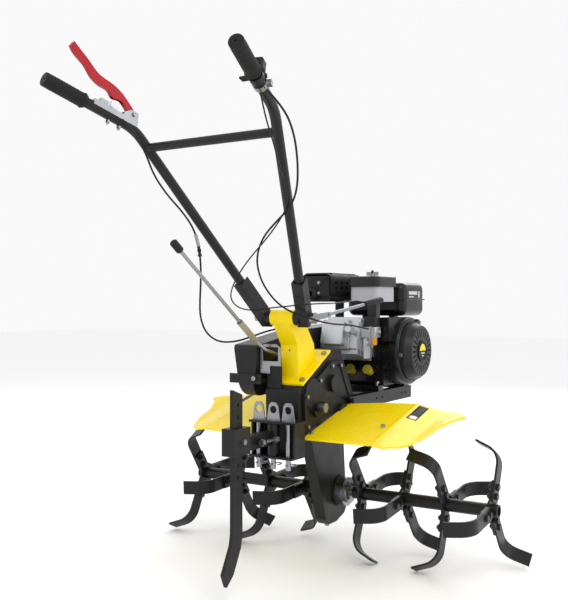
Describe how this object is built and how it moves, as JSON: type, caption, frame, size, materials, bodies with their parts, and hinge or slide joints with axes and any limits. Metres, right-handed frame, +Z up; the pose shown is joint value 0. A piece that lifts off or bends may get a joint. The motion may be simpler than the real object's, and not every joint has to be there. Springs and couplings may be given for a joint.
{
  "type": "walk-behind tiller",
  "caption": "Petrol walk-behind tiller: belt-driven tine rotors under sloping guards, drag stake, tilting V handlebars with clutch and throttle levers.",
  "frame": {"origin": "centre of the footprint, on the ground plane under the tines", "axes": "+X to the operator's right, +Y forwards towards the engine, +Z up"},
  "size_m": [1.1094, 1.3331, 1.3491],
  "materials": {
    "black_enamel": "satin black powder coat",
    "cast_black": "black paint on a sand casting",
    "engine_black": "gloss black enamel",
    "heat_black": "heat resistant matt black paint",
    "yellow_enamel": "bright yellow gloss enamel",
    "zinc": "bright zinc plating",
    "steel": "turned steel",
    "aluminium": "cast aluminium",
    "brass": "yellow passivated bowl",
    "rubber": "moulded black rubber",
    "black_plastic": "moulded black plastic",
    "gloss_plastic": "gloss black plastic",
    "grey_plastic": "silver grey plastic",
    "olive_plastic": "olive yellow plastic",
    "red_plastic": "red moulded plastic",
    "white_plastic": "white moulded plastic",
    "cable_jacket": "black cable jacket",
    "black_bolt": "blackened bolts"
  },
  "bodies": {
    "chassis": {"chain_case": "black_enamel", "seal_housings": "zinc", "gearbox_housing": "cast_black", "gearbox_cover": "cast_black", "chassis_bolts": "zinc", "engine_bed": "black_enamel", "handle_column": "yellow_enamel", "fenders": "yellow_enamel", "crankcase": "engine_black", "cylinder_block": "aluminium", "valve_cover": "aluminium", "fan_housing": "engine_black", "recoil_cover": "gloss_plastic", "muffler": "heat_black", "muffler_guard": "heat_black", "air_cleaner_base": "grey_plastic", "air_cleaner_cover": "gloss_plastic", "intake_elbow": "gloss_plastic", "carburettor": "aluminium", "float_bowl": "brass", "fuel_tank": "engine_black", "oil_caps": "olive_plastic", "belt_cover": "black_enamel", "belt_cover_strap": "black_enamel", "gate_plate": "zinc", "hitch_bracket": "black_enamel", "hitch_pins": "zinc", "drive_belt": "rubber", "drive_chain": "steel", "throttle_cable": "cable_jacket", "stop_wire": "cable_jacket", "clutch_cable": "cable_jacket"},
    "rotor": {"output_shaft": "steel", "hub_right": "black_enamel", "hub_left": "black_enamel", "tines_right": "black_enamel", "tines_left": "black_enamel", "rotor_bolts": "black_bolt"},
    "chain_sprocket": {"upper_sprocket": "steel"},
    "engine_shaft": {"crankshaft": "steel", "engine_pulley": "cast_black"},
    "gearbox_input": {"driven_pulley": "cast_black"},
    "governor": {"governor_lever": "zinc"},
    "filler_cap": {"fuel_cap": "black_plastic"},
    "air_cleaner_nut": {"wing_nut": "zinc"},
    "starter": {"starter_grip": "black_plastic"},
    "handlebar": {"handle_arms": "black_enamel", "grips": "rubber", "control_brackets": "zinc", "stop_switch": "black_plastic"},
    "clamp": {"pivot_bolt": "zinc"},
    "clutch": {"clutch_lever": "red_plastic"},
    "latch": {"clutch_latch": "white_plastic"},
    "throttle": {"throttle_lever": "black_plastic"},
    "switch_rocker": {"stop_rocker": "black_plastic"},
    "shift": {"shift_rod": "zinc", "shift_knob": "black_plastic"},
    "stake_carrier": {"stake_holder": "black_enamel", "stake_screws": "zinc"},
    "stake": {"drag_stake": "black_enamel"}
  },
  "joints": [
    {"name": "tine_rotor", "type": "hinge", "parent": "chassis", "child": "rotor", "pos_m": [0, 0.2235, 0.18], "axis": [1, 0, 0], "continuous": true},
    {"name": "sprocket_turn", "type": "hinge", "parent": "chassis", "child": "chain_sprocket", "pos_m": [0, 0.1615, 0.43], "axis": [1, 0, 0], "continuous": true},
    {"name": "crank_turn", "type": "hinge", "parent": "chassis", "child": "engine_shaft", "pos_m": [0, 0.4755, 0.586], "axis": [1, 0, 0], "continuous": true},
    {"name": "gearbox_input_turn", "type": "hinge", "parent": "chassis", "child": "gearbox_input", "pos_m": [0, -0.0025, 0.55], "axis": [1, 0, 0], "continuous": true},
    {"name": "governor_turn", "type": "hinge", "parent": "chassis", "child": "governor", "pos_m": [0.094, 0.2695, 0.616], "axis": [1, 0, 0], "range_deg": [-10, 20]},
    {"name": "fuel_cap_turn", "type": "hinge", "parent": "chassis", "child": "filler_cap", "pos_m": [0.01, 0.5635, 0.813], "axis": [0, 0, 1], "range_deg": [0, 90]},
    {"name": "wing_nut_turn", "type": "hinge", "parent": "chassis", "child": "air_cleaner_nut", "pos_m": [0.048, 0.3795, 0.822], "axis": [0, 0, 1], "continuous": true},
    {"name": "starter_pull", "type": "slide", "parent": "chassis", "child": "starter", "axis": [0, 0.8575, 0.5145], "range_m": [0, 0.06], "stiffness_N_per_m": 60, "springref_m": -0.02},
    {"name": "handlebar_height", "type": "hinge", "parent": "chassis", "child": "handlebar", "pos_m": [0, -0.0565, 0.697], "axis": [1, 0, 0], "range_deg": [-12, 12], "deforming": ["throttle_cable", "stop_wire", "clutch_cable"]},
    {"name": "clamp_lever_turn", "type": "hinge", "parent": "chassis", "child": "clamp", "pos_m": [0.09, -0.0565, 0.697], "axis": [1, 0, 0], "range_deg": [0, 60]},
    {"name": "clutch_squeeze", "type": "hinge", "parent": "handlebar", "child": "clutch", "pos_m": [-0.20746, -0.43202, 1.20059], "axis": [-0.9669, 0.2553, 0], "range_deg": [-12, 0], "stiffness_Nm_per_rad": 6, "springref_deg": 6.88},
    {"name": "latch_turn", "type": "hinge", "parent": "handlebar", "child": "latch", "pos_m": [-0.21908, -0.47604, 1.20328], "axis": [-0.9669, 0.2553, 0], "range_deg": [0, 12]},
    {"name": "throttle_turn", "type": "hinge", "parent": "handlebar", "child": "throttle", "pos_m": [0.22908, -0.5139, 1.2186], "axis": [-0.0816, 0.3091, 0.9475], "range_deg": [-40, 20]},
    {"name": "switch_rock", "type": "hinge", "parent": "handlebar", "child": "switch_rocker", "pos_m": [0.23433, -0.53377, 1.24527], "axis": [-0.2419, 0.9161, -0.3197], "range_deg": [-6, 6]},
    {"name": "shift_swing", "type": "hinge", "parent": "chassis", "child": "shift", "pos_m": [-0.046, 0.0175, 0.589], "axis": [0, -0.5807, -0.8141], "range_deg": [-6, 6]},
    {"name": "stake_swing", "type": "hinge", "parent": "chassis", "child": "stake_carrier", "pos_m": [0.006, -0.1215, 0.38], "axis": [0, 0, 1], "range_deg": [-10, 10]},
    {"name": "stake_height", "type": "slide", "parent": "stake_carrier", "child": "stake", "axis": [0, 0, 1], "range_m": [-0.03, 0.12]}
  ],
  "couplings": [
    {"joint": "sprocket_turn", "follows": "tine_rotor", "ratio": 1.5},
    {"joint": "gearbox_input_turn", "follows": "crank_turn", "ratio": 0.63333},
    {"joint": "governor_turn", "follows": "throttle_turn", "ratio": -0.5}
  ]
}
